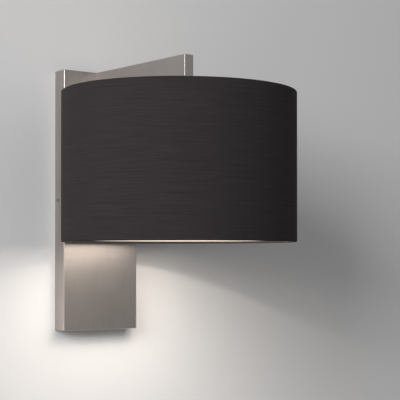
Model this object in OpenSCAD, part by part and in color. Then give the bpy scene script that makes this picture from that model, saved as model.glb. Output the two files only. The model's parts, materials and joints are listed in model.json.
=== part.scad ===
// Wall sconce: a flat backplate box, a slim arm level with its top, and a drum shade that hangs on
// a lampholder under the arm. The wall is the plane y = 0 and the light stands out along -Y.
// The origin is the middle of the wall bracket's two screw holes, on the wall.

/* [Backplate] */
// Width of the backplate box
plate_w = 100; // [92:1:120]
// Height of the backplate box
plate_h = 298; // [270:1:330]
// How far its front stands off the wall
plate_d = 19.5; // [18.5:0.5:26]
// Thickness of its sheet
plate_wall = 1.5; // [1.2:0.1:1.8]
// Rounding of its outer edges
plate_edge_r = 1.2; // [0.4:0.1:1.8]

/* [Wall bracket] */
// Height of the bracket
bracket_h = 130; // [116:1:160]
// Thickness of the bracket's steel
bracket_t = 1.5; // [1.2:0.1:2]
// Height of its side lugs
lug_h = 30; // [16:1:50]
// How far the lugs reach from the wall
lug_d = 12; // [10:0.5:14]
// Gap between a lug and the backplate's side
lug_gap = 0.4; // [0.2:0.1:0.7]
// Distance between the two wall screw holes
wall_hole_pitch = 90; // [84:1:98]
// Radius of a wall screw hole
wall_hole_r = 2.6; // [2:0.1:3]
// Radius of the bore for the supply cable
cable_r = 4.5; // [3.5:0.1:5.5]
// Thickness of the cable bush's wall in the bracket's hole
bush_wall = 4; // [3:0.5:5]
// How far the bush's collar stands out round the hole
bush_lip = 2; // [1:0.5:3]
// Height of the bush's collar
bush_collar_t = 2.5; // [1.5:0.5:4]

/* [Side screws] */
// Radius of a side screw
side_screw_r = 2; // [1.5:0.1:2.5]
// Length of a side screw
side_screw_l = 7; // [6:0.5:9]
// Distance of the side screws from the wall
side_screw_y = 6; // [5:0.5:7]

/* [Terminal block] */
// Distance between two poles
pole_pitch = 10; // [9.5:0.5:10.5]
// Length of the block along its wires
block_l = 20; // [18:1:22]
// Height of the block above the bracket
block_t = 13; // [12:0.5:14.5]
// Radius of a brass insert
insert_r = 2.6; // [2.2:0.1:2.7]
// Height of the block's middle above the cable bore
block_z = 25; // [24:0.5:27]

/* [Arm] */
// Thickness of the arm
arm_t = 11.5; // [11:0.5:14]
// Height of the arm
arm_h = 34; // [33:1:40]
// Thickness of its walls
arm_wall = 1.5; // [1.2:0.1:1.8]
// Rounding of its outer edges
arm_edge_r = 0.6; // [0.3:0.1:1]
// Distance from the wall to the lamp's upright axis
lamp_d = 172.5; // [165:0.5:200]
// How far the arm runs on past the lamp's axis
arm_overhang = 17.5; // [17.5:0.5:30]
// Thickness of the plate behind the backplate's front
backing_t = 2; // [1.5:0.1:2.5]
// Width of that plate
backing_w = 60; // [50:1:70]
// Height of that plate
backing_h = 54; // [48:1:60]
// Length of the tapped block in the arm's root
root_block_l = 14; // [12:1:20]
// Radius of the arm screws
arm_screw_r = 2.5; // [2:0.1:2.5]
// Distance between the arm screws
arm_screw_pitch = 18; // [16:0.5:18]
// Height of the tapped block above the lampholder
foot_block_h = 8; // [7:0.5:10]

/* [Lampholder] */
// Radius of the carrier plate under the arm
carrier_r = 17; // [16.5:0.5:17.5]
// Thickness of the carrier plate
carrier_t = 3; // [2.5:0.1:4]
// Distance between its two screws
carrier_screw_pitch = 24; // [23:0.5:25]
// Radius of the carrier screws
carrier_screw_r = 2; // [1.7:0.1:2.1]
// Radius of the threaded nipple
nipple_r = 5; // [4.8:0.1:5.4]
// Radius of the wire way through the nipple and the blocks
wire_way_r = 3.2; // [2.8:0.1:3.4]
// Radius of the lampholder over its thread
holder_r = 19.5; // [19.2:0.1:20.5]
// Height of its cap, from the carrier plate to the seam
holder_cap_h = 28; // [27:0.5:32]
// Height of its skirt, from the seam to the mouth
holder_skirt_h = 30; // [29:0.5:34]
// Radius of the flange that the shade is clamped against
flange_r = 22.5; // [22:0.1:24]
// Thickness of that flange
flange_t = 3; // [2.4:0.1:4]
// Wall of the lampholder's cap and skirt
holder_wall = 2.2; // [2:0.1:2.4]

/* [Bulb] */
// Radius of the bulb's round glass
bulb_r = 30; // [28:0.5:32]
// Radius of the glass's neck inside the cap
bulb_neck_r = 12.5; // [12:0.1:12.5]
// Radius of the hollow curve between neck and round glass
bulb_waist_r = 50; // [40:1:60]
// Wall of the glass
bulb_wall = 0.9; // [0.6:0.1:1.2]
// Radius of the bulb's screw cap
bulb_cap_r = 13.1; // [13:0.05:13.2]
// Length of the bulb's screw cap, from its contact
bulb_cap_l = 27; // [26:0.5:28]

/* [Shade] */
// Radius of the drum over its fabric
shade_r = 125; // [110:1:140]
// Height of the drum
shade_h = 159; // [140:1:180]
// Gap between the arm's underside and the drum's top
shade_gap = 5; // [3:0.5:9]
// Thickness of the fabric
fabric_t = 0.8; // [0.6:0.1:1.2]
// Thickness of the pale lining
liner_t = 0.5; // [0.4:0.1:0.8]
// Radius of the wire in the top ring
top_wire_r = 1.25; // [1:0.05:1.6]
// Radius of the thinner wire in the bottom ring
bottom_wire_r = 0.6; // [0.5:0.05:1]
// Thickness of the fabric turned over those wires
hem_t = 0.3; // [0.2:0.05:0.5]
// Radius of the three arms that carry the drum
spider_rod_r = 1.5; // [1.2:0.1:2]
// Thickness of the spider's centre ring
spider_ring_t = 1.5; // [1.2:0.1:2]
// Outer radius of the spider's centre ring
spider_ring_r = 31; // [30:0.5:34]

/* [Shade ring] */
// Height of the ring nut
nut_h = 8.5; // [7:0.5:10]
// Radius of the ring nut's body
nut_r = 24; // [23.5:0.1:25]
// Radius of its flange
nut_flange_r = 28; // [27:0.5:29.5]
// Thickness of its flange
nut_flange_t = 2; // [1.5:0.1:3]
// Number of finger grips round it
nut_grips = 16; // [8:1:20]
// Radius of a finger grip
nut_grip_r = 1.6; // [1.2:0.1:2]

/* [Wires] */
// Radius of an insulated wire
wire_r = 1.1; // [0.9:0.1:1.2]

/* [Clearances] */
// Gap round a piece that sits in another
fit_gap = 0.1; // [0.05:0.05:0.2]
// Gap between the ring nut or bulb and the thread it runs on
thread_gap = 0.3; // [0.2:0.05:0.4]
// Gap between a screw and a plain hole that it passes
hole_gap = 0.3; // [0.2:0.05:0.4]

/* [Hidden] */
$fn = 96;
eps = 0.01;

// Heights, from the top down
plate_top = plate_h / 2;
arm_bottom = plate_top - arm_h;
arm_mid = plate_top - arm_h / 2;
holder_top = arm_bottom - carrier_t;
seam_z = holder_top - holder_cap_h;
shoulder_z = seam_z - flange_t;
mouth_z = seam_z - holder_skirt_h;
shade_top = arm_bottom - shade_gap;
shade_bottom = shade_top - shade_h;
nut_top = shoulder_z - spider_ring_t;

// Backplate and bracket
cover_in_x = plate_w / 2 - plate_wall;
cover_in_y = plate_d - plate_wall;
lug_x = cover_in_x - lug_gap;
bush_hole_r = cable_r + bush_wall;
bush_collar_r = bush_hole_r + bush_lip;
edge_flange_w = 60;
edge_flange_d = 5;
bracket_corner_r = 3;
lug_corner_r = 3;
relief_r = 1.2;
slot_l = 16;
slot_r = 2.1;
slot_x = 26;

// Terminal block, beside the cable bush
poles = 3;
block_gap = 1;
barrel_r = 4.2;
block_w = (poles - 1) * pole_pitch + 2 * barrel_r;
block_x = bush_collar_r + block_gap + block_w / 2;
barrel_y = bracket_t + barrel_r;
chimney_r = 2.9;
clamp_screw_r = 1.5;
clamp_screw_l = 4;
clamp_screw_pitch = 10;
insert_bore_r = 1.5;
fixing_screw_r = 1.2;
fixing_head_r = 1.9;
fixing_head_t = 1.4;
web_t = 5;

// Arm
arm_in_t = arm_t - 2 * arm_wall;
arm_end = lamp_d + arm_overhang;
foot_block_back = carrier_screw_pitch / 2 + 4;
arm_screw_head_r = 4.2;
arm_screw_head_t = 3;
arm_screw_depth = 10;
carrier_screw_head_r = 3.7;
carrier_screw_grip = 6;
socket_depth = 1.6;

// Earth points: one on the bracket, one on the backing plate
earth_screw_r = 2;
earth_head_r = 3.5;
earth_head_t = 2.2;
earth_slot_w = 0.8;
earth_ring_r = 4;
earth_ring_t = 0.8;
earth_lug_l = 9;
earth_lug_w = 2.6;
earth_barrel_l = 5;
earth_barrel_wall = 0.7;
earth_wire_depth = 2;
bracket_earth_x = -27;
bracket_earth_z = 25;
backing_earth_x = -20;
backing_earth_z = arm_mid - backing_h / 2;

// Lampholder
neck_r = 9;
neck_h = 6;
dome_r = holder_r - neck_r;
collar_h = 5;
core_r = holder_r - holder_wall - 2 * fit_gap - 0.5;
lip_t = 2;
lip_r = bulb_cap_r + 1.4;
shell_in_r = bulb_cap_r + thread_gap + 0.15;
shell_t = 0.4;
contact_z = mouth_z + bulb_cap_l;
core_under = contact_z + 3;
core_top = core_under + 6;
shell_flange_r = 9;
leaf_w = 6;
leaf_t = 0.5;
terminal_x = 9;
terminal_h = 5;
terminal_w = 7;
nipple_below = 7;

// Bulb, by how far below its contact each level lies
waist_dy = sqrt(pow(bulb_r + bulb_waist_r, 2) - pow(bulb_neck_r + bulb_waist_r, 2));
waist_drop = bulb_cap_l + 0.2;
globe_drop = waist_drop + waist_dy;
waist_angle = acos((bulb_neck_r + bulb_waist_r) / (bulb_r + bulb_waist_r));
contact_gap = 0.1;
bulb_top = contact_z - contact_gap;

// Shade
liner_r = shade_r - fabric_t - fit_gap;
top_hem_r = top_wire_r + fit_gap + hem_t;
bottom_hem_r = bottom_wire_r + fit_gap + hem_t;
spider_in_r = holder_r + 1.1;
spider_arms = 3;
spider_turn = 30;
spider_flat_r = spider_ring_r + 2.5;
weld_sink = 0.6;
weld_l = 6;

// Wires
wire_x = wire_r + 0.2;
wire_bend = 5;
wire_y = 9;

nickel = "#8f8c87";
zinc = "#a9abad";
steel = "#85878a";
brass = "#b99a55";
black = "#1d1d1e";
white = "#e8e4da";

// A block from x -w/2 to w/2, from depth d0 to d1 off the wall, from height z0 to z1
module slab(w, d0, d1, z0, z1) {
    translate([-w / 2, -d1, z0]) cube([w, d1 - d0, z1 - z0]);
}

// A cylinder along the depth, from depth d0 to d1 off the wall
module rod_y(r, d0, d1) {
    translate([0, -d0, 0]) rotate([90, 0, 0]) cylinder(r = r, h = d1 - d0);
}

// A cylinder along X, from x0 to x1
module rod_x(r, x0, x1) {
    translate([x0, 0, 0]) rotate([0, 90, 0]) cylinder(r = r, h = x1 - x0);
}

// Places what follows on the lamp's upright axis
module on_lamp_axis() {
    translate([0, -lamp_d, 0]) children();
}

// A rectangle from [x0, y0] to [x1, y1] with round corners
module round_rect(x0, y0, x1, y1, r) {
    translate([x0 + r, y0]) square([x1 - x0 - 2 * r, y1 - y0]);
    translate([x0, y0 + r]) square([x1 - x0, y1 - y0 - 2 * r]);
    for (x = [x0 + r, x1 - r], y = [y0 + r, y1 - r]) translate([x, y]) circle(r = r);
}

// A block standing off a face at depth d0, its front and side edges rounded by r
module soft_slab(w, d0, d1, z0, z1, r) {
    intersection() {
        slab(w, d0, d1, z0, z1);
        translate([0, 0, z0 - 1]) linear_extrude(z1 - z0 + 2) round_rect(-w / 2, -d1, w / 2, 4 * r, r);
        rotate([90, 0, 90]) translate([0, 0, -w]) linear_extrude(2 * w)
            round_rect(-d1, z0, 4 * r, z1, r);
    }
}

// A turned ring between two radii, from z0 to z1
module turned_ring(r_in, r_out, z0, z1) {
    translate([0, 0, z0]) difference() {
        cylinder(r = r_out, h = z1 - z0);
        translate([0, 0, -1]) cylinder(r = r_in, h = z1 - z0 + 2);
    }
}

// Points of an arc round c, from angle a0 to a1
function arc(c, r, a0, a1, n) =
    [for (i = [0:n]) let (a = a0 + (a1 - a0) * i / n) [c[0] + r * cos(a), c[1] + r * sin(a)]];

// A path with its corners turned into short curves that start at distance d from the corner
function rounded(path, d, n) = concat([path[0]],
    [for (i = [1:len(path) - 2], k = [0:n])
        let (p = path[i], a = path[i - 1] - p, b = path[i + 1] - p,
            da = min(d, norm(a) / 2.2), db = min(d, norm(b) / 2.2),
            s = p + a * da / norm(a), e = p + b * db / norm(b), t = k / n)
        s * (1 - t) * (1 - t) + p * 2 * t * (1 - t) + e * t * t],
    [path[len(path) - 1]]);

// An insulated wire swept along a path
module wire(path, r = wire_r, sides = 8) {
    last = len(path) - 1;
    function way(i) = let (v = path[min(i + 1, last)] - path[max(i - 1, 0)]) v / norm(v);
    points = [for (i = [0:last])
        let (t = way(i), n = cross(t, [1, 0, 0.02]), u = n / norm(n), v = cross(t, u))
        for (j = [0:sides - 1]) path[i] + r * (cos(360 * j / sides) * u + sin(360 * j / sides) * v)];
    walls = [for (i = [0:last - 1], j = [0:sides - 1], h = [0, 1])
        let (a = i * sides + j, b = i * sides + (j + 1) % sides)
        h == 0 ? [a, a + sides, b + sides] : [a, b + sides, b]];
    polyhedron(points = points, faces = concat(walls, [[for (j = [0:sides - 1]) j]],
        [[for (j = [sides - 1:-1:0]) last * sides + j]]));
}

// A side lug of the bracket, turned forward from its edge, with its two free corners rounded
module bracket_lug() {
    translate([-bracket_t, 0, 0]) rotate([90, 0, 90]) linear_extrude(bracket_t) intersection() {
        translate([-lug_d, -lug_h / 2]) square([lug_d, lug_h]);
        round_rect(-lug_d, -lug_h / 2, 4 * lug_corner_r, lug_h / 2, lug_corner_r);
    }
}

// A level slot through the bracket
module bracket_slot() {
    translate([0, 1, 0]) rotate([90, 0, 0]) linear_extrude(bracket_t + 2) {
        square([slot_l - 2 * slot_r, 2 * slot_r], center = true);
        for (s = [-1, 1]) translate([s * (slot_l / 2 - slot_r), 0]) circle(r = slot_r);
    }
}

module wall_bracket() {
    color(zinc) difference() {
        union() {
            rotate([90, 0, 0]) linear_extrude(bracket_t)
                round_rect(-lug_x, -bracket_h / 2, lug_x, bracket_h / 2, bracket_corner_r);
            for (s = [0, 1]) mirror([s, 0, 0]) translate([lug_x, 0, 0]) bracket_lug();
            for (s = [-1, 1]) translate([0, 0, s * (bracket_h / 2 - bracket_t / 2)])
                slab(edge_flange_w, 0, edge_flange_d, -bracket_t / 2, bracket_t / 2);
        }
        translate([0, 1, 0]) rod_y(bush_hole_r, 0, bracket_t + 2);
        for (s = [-1, 1]) {
            translate([0, 1, s * wall_hole_pitch / 2]) rod_y(wall_hole_r, 0, bracket_t + 2);
            translate([0, -side_screw_y, 0])
                rod_x(side_screw_r + fit_gap, s * lug_x - 2 * bracket_t, s * lug_x + 2 * bracket_t);
            for (t = [-1, 1]) {
                translate([s * slot_x, 0, t * wall_hole_pitch / 2]) bracket_slot();
                translate([s * lug_x, 1, t * (lug_h / 2 + relief_r)])
                    rod_y(relief_r, 0, bracket_t + 2);
            }
        }
        translate([bracket_earth_x, 1, bracket_earth_z])
            rod_y(earth_screw_r + fit_gap, 0, bracket_t + 2);
        for (x = [-1, 1]) translate([block_x + x * pole_pitch / 2, 1, block_z])
            rod_y(fixing_screw_r + fit_gap, 0, bracket_t + 2);
    }
}

module cable_bush() {
    color(black) difference() {
        union() {
            rod_y(bush_hole_r - fit_gap, 0, bracket_t + eps);
            rod_y(bush_collar_r, bracket_t, bracket_t + bush_collar_t);
        }
        translate([0, 1, 0]) rod_y(cable_r, 0, bracket_t + bush_collar_t + 2);
    }
}

// Runs its children once for each pole, on the pole's own axis
module each_pole() {
    for (i = [0:poles - 1])
        translate([block_x + (i - (poles - 1) / 2) * pole_pitch, -barrel_y, block_z]) children();
}

module terminal_block() {
    color(white) difference() {
        union() {
            each_pole() {
                translate([0, 0, -block_l / 2]) cylinder(r = barrel_r, h = block_l);
                translate([-barrel_r, 0, -block_l / 2]) cube([2 * barrel_r, barrel_r, block_l]);
                for (s = [-1, 1]) translate([0, 0, s * clamp_screw_pitch / 2])
                    rod_y(chimney_r, 0, block_t - barrel_r);
            }
            translate([block_x, 0, block_z]) slab((poles - 1) * pole_pitch, bracket_t,
                bracket_t + web_t, -block_l / 2, block_l / 2);
        }
        each_pole() {
            translate([0, 0, -block_l / 2 - 1]) cylinder(r = insert_r + fit_gap, h = block_l + 2);
            for (s = [-1, 1]) translate([0, 0, s * clamp_screw_pitch / 2])
                rod_y(clamp_screw_r + fit_gap, 0, block_t);
        }
        for (x = [-1, 1]) translate([block_x + x * pole_pitch / 2, 0, block_z]) {
            rod_y(fixing_screw_r + fit_gap, 0, block_t);
            rod_y(fixing_head_r + fit_gap, bracket_t + web_t, block_t + bracket_t);
        }
    }
}

module terminal_inserts() {
    color(brass) each_pole() difference() {
        translate([0, 0, -block_l / 2 + 1]) cylinder(r = insert_r, h = block_l - 2);
        translate([0, 0, -block_l / 2]) cylinder(r = insert_bore_r, h = block_l);
        for (s = [-1, 1]) translate([0, 0, s * clamp_screw_pitch / 2])
            rod_y(clamp_screw_r + fit_gap, 0, 2 * insert_r);
    }
}

module terminal_screws() {
    color(brass) each_pole() for (s = [-1, 1]) translate([0, 0, s * clamp_screw_pitch / 2])
        difference() {
            rod_y(clamp_screw_r, 1, 1 + clamp_screw_l);
            slab(clamp_screw_r * 3, clamp_screw_l + 0.3, clamp_screw_l + 2, -0.25, 0.25);
        }
}

module terminal_fixing_screws() {
    color(steel) for (x = [-1, 1]) translate([block_x + x * pole_pitch / 2, 0, block_z])
        difference() {
            union() {
                rod_y(fixing_screw_r, 0, bracket_t + web_t + eps);
                rod_y(fixing_head_r, bracket_t + web_t, bracket_t + web_t + fixing_head_t);
            }
            slab(fixing_head_r * 3, bracket_t + web_t + fixing_head_t / 2, bracket_t + web_t + 3,
                -0.3, 0.3);
        }
}

// Places what follows on each earth point; the one on the backing plate faces the wall
module each_earth_point() {
    translate([bracket_earth_x, -bracket_t, bracket_earth_z]) children();
    translate([backing_earth_x, -(cover_in_y - backing_t), backing_earth_z])
        mirror([0, 1, 0]) children();
}

module earth_screws() {
    color(brass) each_earth_point() difference() {
        union() {
            rod_y(earth_screw_r, -bracket_t, earth_ring_t + eps);
            rod_y(earth_head_r, earth_ring_t, earth_ring_t + earth_head_t);
        }
        slab(earth_head_r * 3, earth_ring_t + earth_head_t / 2, earth_ring_t + 2 * earth_head_t,
            -earth_slot_w / 2, earth_slot_w / 2);
    }
}

// A flat ring on a tongue, whose end is rolled into a barrel round the wire
module earth_rings() {
    barrel_out_r = wire_r + fit_gap + earth_barrel_wall;
    color(steel) each_earth_point() difference() {
        union() {
            rod_y(earth_ring_r, 0, earth_ring_t);
            slab(earth_lug_w, 0, earth_ring_t, 0, earth_lug_l);
            translate([0, -wire_r - earth_ring_t, earth_lug_l - earth_barrel_l])
                cylinder(r = barrel_out_r, h = earth_barrel_l);
        }
        rod_y(earth_screw_r + fit_gap, -1, earth_ring_t + 1);
        translate([0, -wire_r - earth_ring_t, earth_lug_l - earth_wire_depth])
            cylinder(r = wire_r + fit_gap, h = earth_barrel_l);
        slab(4 * earth_ring_r, -earth_ring_t, 0, -2 * earth_ring_r, 2 * earth_lug_l);
    }
}

module backplate_cover() {
    color(nickel) difference() {
        soft_slab(plate_w, 0, plate_d, -plate_top, plate_top, plate_edge_r);
        slab(2 * cover_in_x, -1, cover_in_y, -plate_top + plate_wall, plate_top - plate_wall);
        for (s = [-1, 1]) {
            translate([s * cover_in_x, -side_screw_y, 0])
                rod_x(side_screw_r + hole_gap, -2 * plate_wall, 2 * plate_wall);
            translate([0, 0, arm_mid + s * arm_screw_pitch / 2])
                rod_y(arm_screw_r + hole_gap, cover_in_y - 1, plate_d + 1);
        }
        translate([0, 0, arm_mid]) rod_y(wire_way_r, cover_in_y - 1, plate_d + 1);
    }
}

module side_screws() {
    color(steel) for (s = [0, 1]) mirror([s, 0, 0]) translate([0, -side_screw_y, 0])
        difference() {
            rod_x(side_screw_r, plate_w / 2 - side_screw_l, plate_w / 2 - 0.3);
            translate([plate_w / 2 - 0.3 - socket_depth, 0, 0]) rotate([0, 90, 0])
                cylinder(r = side_screw_r * 0.55, h = socket_depth + 1, $fn = 6);
        }
}

module arm_backing_plate() {
    color(zinc) difference() {
        slab(backing_w, cover_in_y - backing_t, cover_in_y,
            plate_top - plate_wall - fit_gap - backing_h, plate_top - plate_wall - fit_gap);
        for (s = [-1, 1]) translate([0, 0, arm_mid + s * arm_screw_pitch / 2])
            rod_y(arm_screw_r + hole_gap, 0, plate_d);
        translate([0, 0, arm_mid]) rod_y(wire_way_r, 0, plate_d);
        translate([backing_earth_x, 0, backing_earth_z])
            rod_y(earth_screw_r + fit_gap, 0, plate_d);
    }
}

module arm_screws() {
    head_d = cover_in_y - backing_t;
    color(steel) for (s = [-1, 1]) translate([0, 0, arm_mid + s * arm_screw_pitch / 2])
        difference() {
            union() {
                rod_y(arm_screw_r, head_d - eps, plate_d + arm_screw_depth);
                rod_y(arm_screw_head_r, head_d - arm_screw_head_t, head_d);
            }
            translate([0, -head_d + arm_screw_head_t + 1, 0]) rotate([90, 0, 0])
                cylinder(r = arm_screw_r * 0.8, h = 1 + socket_depth, $fn = 6);
        }
}

module arm_root_block() {
    color(steel) difference() {
        slab(arm_in_t - 2 * fit_gap, plate_d, plate_d + root_block_l, arm_bottom + arm_wall + fit_gap,
            plate_top - arm_wall - fit_gap);
        for (s = [-1, 1]) translate([0, 0, arm_mid + s * arm_screw_pitch / 2])
            rod_y(arm_screw_r + fit_gap, plate_d - 1, plate_d + root_block_l + 1);
        translate([0, 0, arm_mid]) rod_y(wire_way_r, plate_d - 1, plate_d + root_block_l + 1);
    }
}

module arm_shell() {
    color(nickel) difference() {
        intersection() {
            slab(arm_t, plate_d, arm_end, arm_bottom, plate_top);
            soft_slab(arm_t, plate_d - 4, arm_end, arm_bottom, plate_top, arm_edge_r);
            rotate([90, 0, 0]) linear_extrude(arm_end + 1)
                round_rect(-arm_t / 2, arm_bottom, arm_t / 2, plate_top, arm_edge_r);
        }
        slab(arm_in_t, plate_d - 1, arm_end - arm_wall, arm_bottom + arm_wall,
            plate_top - arm_wall);
        on_lamp_axis() {
            translate([0, 0, arm_bottom - 1]) cylinder(r = wire_way_r, h = arm_wall + 2);
            for (s = [-1, 1]) translate([0, s * carrier_screw_pitch / 2, arm_bottom - 1])
                cylinder(r = carrier_screw_r + hole_gap, h = arm_wall + 2);
        }
    }
}

module arm_foot_block() {
    z0 = arm_bottom + arm_wall;
    color(steel) difference() {
        slab(arm_in_t - 2 * fit_gap, lamp_d - foot_block_back, arm_end - arm_wall - fit_gap, z0,
            z0 + foot_block_h);
        on_lamp_axis() {
            translate([0, 0, z0 - 1]) cylinder(r = wire_way_r, h = foot_block_h + 2);
            for (s = [-1, 1]) translate([0, s * carrier_screw_pitch / 2, z0 - 1])
                cylinder(r = carrier_screw_r + fit_gap, h = foot_block_h + 2);
        }
    }
}

// The two lamp leads run side by side from the block's top, up behind the backplate's front,
// out through the arm and down through the nipple; s is -1 or 1 for the lead's side
function lamp_lead(s, x) = rounded([
    [x, -barrel_y, block_z + block_l / 2],
    [x, -barrel_y, block_z + block_l / 2 + 14],
    [s * wire_x, -wire_y, arm_mid - 36],
    [s * wire_x, -wire_y, arm_mid],
    [s * wire_x, -lamp_d, arm_mid],
    [s * wire_x, -lamp_d, holder_top - nipple_below - 4],
    [s * terminal_x, -lamp_d, core_top + terminal_h + 2.5],
    [s * terminal_x, -lamp_d, core_top + terminal_h]], wire_bend, 5);

module live_wire() {
    color("#7a4a2a") wire(lamp_lead(1, block_x));
}

module neutral_wire() {
    color("#3a6ea8") wire(lamp_lead(-1, block_x - pole_pitch));
}

// Earth leads from the block's third pole to the backing plate, and from its foot to the bracket
module earth_wires() {
    x = block_x + pole_pitch;
    ring_y = wire_r + earth_ring_t;
    lug_top = earth_lug_l - earth_wire_depth;
    color("#6f9a3a") {
        wire(rounded([
            [x, -barrel_y, block_z + block_l / 2],
            [x, -barrel_y, block_z + block_l / 2 + 30],
            [x, -6, backing_earth_z + 40],
            [backing_earth_x, -6, backing_earth_z + 40],
            [backing_earth_x, -(cover_in_y - backing_t) + ring_y, backing_earth_z + 20],
            [backing_earth_x, -(cover_in_y - backing_t) + ring_y, backing_earth_z + lug_top]],
            wire_bend, 5));
        wire(rounded([
            [x, -barrel_y, block_z - block_l / 2],
            [x, -barrel_y, block_z - block_l / 2 - 10],
            [0, -wire_y, -22],
            [bracket_earth_x - 12, -6, 0],
            [bracket_earth_x, -bracket_t - ring_y, bracket_earth_z + 24],
            [bracket_earth_x, -bracket_t - ring_y, bracket_earth_z + lug_top]],
            wire_bend, 5));
    }
}

module carrier_plate() {
    color(steel) on_lamp_axis() difference() {
        translate([0, 0, holder_top]) cylinder(r = carrier_r, h = carrier_t);
        translate([0, 0, holder_top - 1]) cylinder(r = nipple_r + fit_gap, h = carrier_t + 2);
        for (s = [-1, 1]) translate([0, s * carrier_screw_pitch / 2, holder_top]) {
            translate([0, 0, -1]) cylinder(r = carrier_screw_r + fit_gap, h = carrier_t + 2);
            translate([0, 0, -eps]) cylinder(r1 = carrier_screw_head_r + fit_gap,
                r2 = carrier_screw_r + fit_gap, h = carrier_screw_head_r - carrier_screw_r);
        }
    }
}

module carrier_screws() {
    color(steel) on_lamp_axis() for (s = [-1, 1])
        translate([0, s * carrier_screw_pitch / 2, holder_top]) difference() {
            union() {
                cylinder(r1 = carrier_screw_head_r, r2 = carrier_screw_r,
                    h = carrier_screw_head_r - carrier_screw_r);
                cylinder(r = carrier_screw_r, h = carrier_t + arm_wall + carrier_screw_grip);
            }
            for (a = [0, 90]) rotate(a) translate([-2, -0.35, -1]) cube([4, 0.7, 2]);
        }
}

module nipple() {
    color(zinc) on_lamp_axis()
        turned_ring(wire_way_r, nipple_r, holder_top - nipple_below, arm_bottom);
}

module lampholder_cap() {
    dome_z = holder_top - neck_h - dome_r;
    in_r = holder_r - holder_wall;
    color(black) on_lamp_axis() rotate_extrude() polygon(concat(
        [[in_r, seam_z], [holder_r, seam_z]],
        arc([neck_r, dome_z], dome_r, 0, 90, 10),
        [[neck_r, holder_top], [nipple_r + fit_gap, holder_top],
            [nipple_r + fit_gap, dome_z + dome_r - holder_wall]],
        arc([neck_r, dome_z], dome_r - holder_wall, 90, 0, 10)));
}

module lampholder_skirt() {
    in_r = core_r + fit_gap;
    color(black) on_lamp_axis() rotate_extrude() polygon([
        [lip_r, mouth_z], [holder_r - 0.8, mouth_z], [holder_r, mouth_z + 0.8],
        [holder_r, shoulder_z], [flange_r, shoulder_z], [flange_r, seam_z],
        [in_r + 0.5, seam_z], [in_r + 0.5, seam_z + collar_h],
        [in_r, seam_z + collar_h], [in_r, mouth_z + lip_t], [lip_r, mouth_z + lip_t]]);
}

module lampholder_insert() {
    color(white) on_lamp_axis() difference() {
        translate([0, 0, mouth_z + lip_t]) cylinder(r = core_r, h = core_top - mouth_z - lip_t);
        translate([0, 0, mouth_z]) cylinder(r = shell_in_r + shell_t + fit_gap,
            h = core_under - mouth_z);
    }
}

module lampholder_shell() {
    color(brass) on_lamp_axis() {
        turned_ring(shell_in_r, shell_in_r + shell_t, mouth_z + lip_t + 1, core_under);
        turned_ring(shell_flange_r, shell_in_r + shell_t / 2, core_under - shell_t, core_under);
    }
}

// The leaf's foot lies on the insulating core, its tip bears on the bulb's contact
module centre_contact() {
    tip = contact_z;
    foot = core_under;
    color(brass) on_lamp_axis() rotate([90, 0, 0]) translate([0, 0, -leaf_w / 2])
        linear_extrude(leaf_w) polygon([
            [-8.2, foot - leaf_t], [-5, foot - leaf_t], [-1.5, tip], [3, tip], [6, foot - leaf_t - 1],
            [6, foot - 1], [2.8, tip + leaf_t], [-1.2, tip + leaf_t], [-4.6, foot], [-8.2, foot]]);
}

module lampholder_terminals() {
    color(brass) on_lamp_axis() for (s = [-1, 1]) translate([s * terminal_x, 0, core_top]) {
        difference() {
            translate([-terminal_w / 2, -terminal_w / 2, 0]) cube([terminal_w, terminal_w, terminal_h]);
            translate([0, 0, terminal_h / 2]) rod_x(1.5 + fit_gap, -terminal_w, terminal_w);
        }
        mirror([s < 0 ? 1 : 0, 0, 0]) translate([0, 0, terminal_h / 2]) {
            rod_x(1.5, -terminal_w / 2, terminal_w / 2 + eps);
            rod_x(2.2, terminal_w / 2, terminal_w / 2 + 1.4);
        }
    }
}

module shade_fabric() {
    color("#2b292a") on_lamp_axis() turned_ring(shade_r - fabric_t, shade_r, shade_bottom, shade_top);
}

module shade_liner() {
    color(white) on_lamp_axis()
        turned_ring(liner_r - liner_t, liner_r, shade_bottom + hem_t + fit_gap,
            shade_top - hem_t - fit_gap);
}

// Radius of a ring whose hem, of radius hem_r, lies against the lining
function ring_r(hem_r) = liner_r - liner_t - fit_gap - hem_r;

// A wire ring of the shade, at height z
module rim_wire(z, wire_r, hem_r) {
    translate([0, 0, z]) rotate_extrude() translate([ring_r(hem_r), 0]) circle(r = wire_r, $fn = 32);
}

// The three sloping arms from the centre ring, which they are welded into, to the top wire
module spider_rods(r) {
    z0 = shoulder_z + spider_rod_r - weld_sink;
    z1 = shade_top - top_hem_r;
    run = ring_r(top_hem_r) - spider_flat_r;
    rise = z1 - z0;
    for (i = [0:spider_arms - 1]) rotate(spider_turn + 360 * i / spider_arms) {
        translate([spider_ring_r - weld_l, 0, z0]) rotate([0, 90, 0])
            cylinder(r = r, h = spider_flat_r - spider_ring_r + weld_l);
        translate([spider_flat_r, 0, z0]) sphere(r = r);
        translate([spider_flat_r, 0, z0]) rotate([0, 90 - atan2(rise, run), 0])
            cylinder(r = r, h = norm([run, rise]));
    }
}

module shade_spider() {
    color(white) on_lamp_axis() {
        spider_rods(spider_rod_r);
        turned_ring(spider_in_r, spider_ring_r, nut_top, shoulder_z);
        rim_wire(shade_top - top_hem_r, top_wire_r, top_hem_r);
    }
}

module shade_bottom_ring() {
    color(white) on_lamp_axis() rim_wire(shade_bottom + bottom_hem_r, bottom_wire_r, bottom_hem_r);
}

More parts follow.
